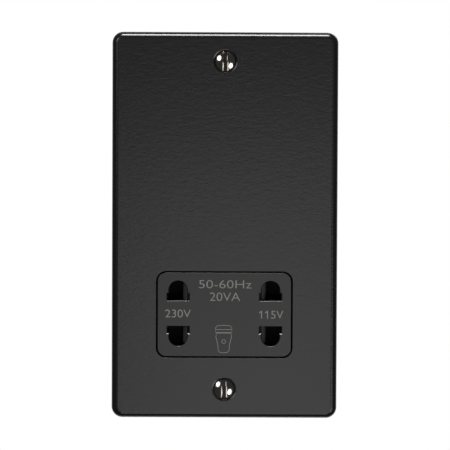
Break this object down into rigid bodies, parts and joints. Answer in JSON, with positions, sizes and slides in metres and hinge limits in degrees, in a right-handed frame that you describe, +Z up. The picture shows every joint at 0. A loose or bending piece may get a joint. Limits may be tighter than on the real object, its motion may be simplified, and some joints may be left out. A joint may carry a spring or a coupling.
{
  "type": "shaver socket",
  "caption": "Wall-mounted dual-voltage shaver socket: black metal plate, flush pin insert, isolating transformer and a sliding interlock shutter.",
  "frame": {"origin": "centre of the plate in the wall plane, midway between the two fixing screws", "axes": "+X to the right as seen from the front, +Y into the wall, +Z up; the front faces -Y"},
  "size_m": [0.083, 0.0456, 0.142],
  "materials": {
    "plate_coating": "fine textured matt black coating on steel",
    "black_moulding": "smooth satin black moulding",
    "housing_moulding": "white heat-resistant moulding",
    "dark_nickel": "polished dark nickel plate",
    "natural_nylon": "natural nylon",
    "spring_steel": "drawn wire",
    "contact_bronze": "rolled phosphor bronze strip",
    "zinc_steel": "bright zinc plate",
    "core_steel": "stacked silicon steel, varnished",
    "winding_tape": "enamelled copper wire under polyester tape",
    "terminal_brass": "machined brass"
  },
  "bodies": {
    "housing": {"face_plate": "plate_coating", "fixing_screws": "dark_nickel", "screw_retainers": "natural_nylon", "socket_insert": "black_moulding", "mounting_frame": "black_moulding", "contact_base": "black_moulding", "return_spring_left": "spring_steel", "return_spring_right": "spring_steel", "switch_strip_common": "contact_bronze", "switch_strip_load": "contact_bronze", "contact_230v_lower": "contact_bronze", "contact_230v_upper": "contact_bronze", "contact_115v_lower": "contact_bronze", "contact_115v_upper": "contact_bronze", "mechanism_screws": "zinc_steel", "core_e_stack": "core_steel", "core_i_stack": "core_steel", "winding_bobbin": "natural_nylon", "primary_winding": "winding_tape", "secondary_winding": "winding_tape", "thermal_cutout": "black_moulding", "core_screws": "zinc_steel", "rear_housing": "housing_moulding", "housing_screws": "zinc_steel", "terminal_live": "terminal_brass", "terminal_neutral": "terminal_brass", "terminal_earth": "terminal_brass", "terminal_screws": "zinc_steel", "earth_strap": "terminal_brass"},
    "shutter": {"interlock_shutter": "black_moulding", "switch_bridge": "contact_bronze"}
  },
  "joints": [
    {"name": "shutter_slide", "type": "slide", "parent": "housing", "child": "shutter", "axis": [1, 0, 0], "range_m": [-0.0035, 0.0035], "stiffness_N_per_m": 300, "deforming": ["return_spring_left", "return_spring_right"]}
  ]
}
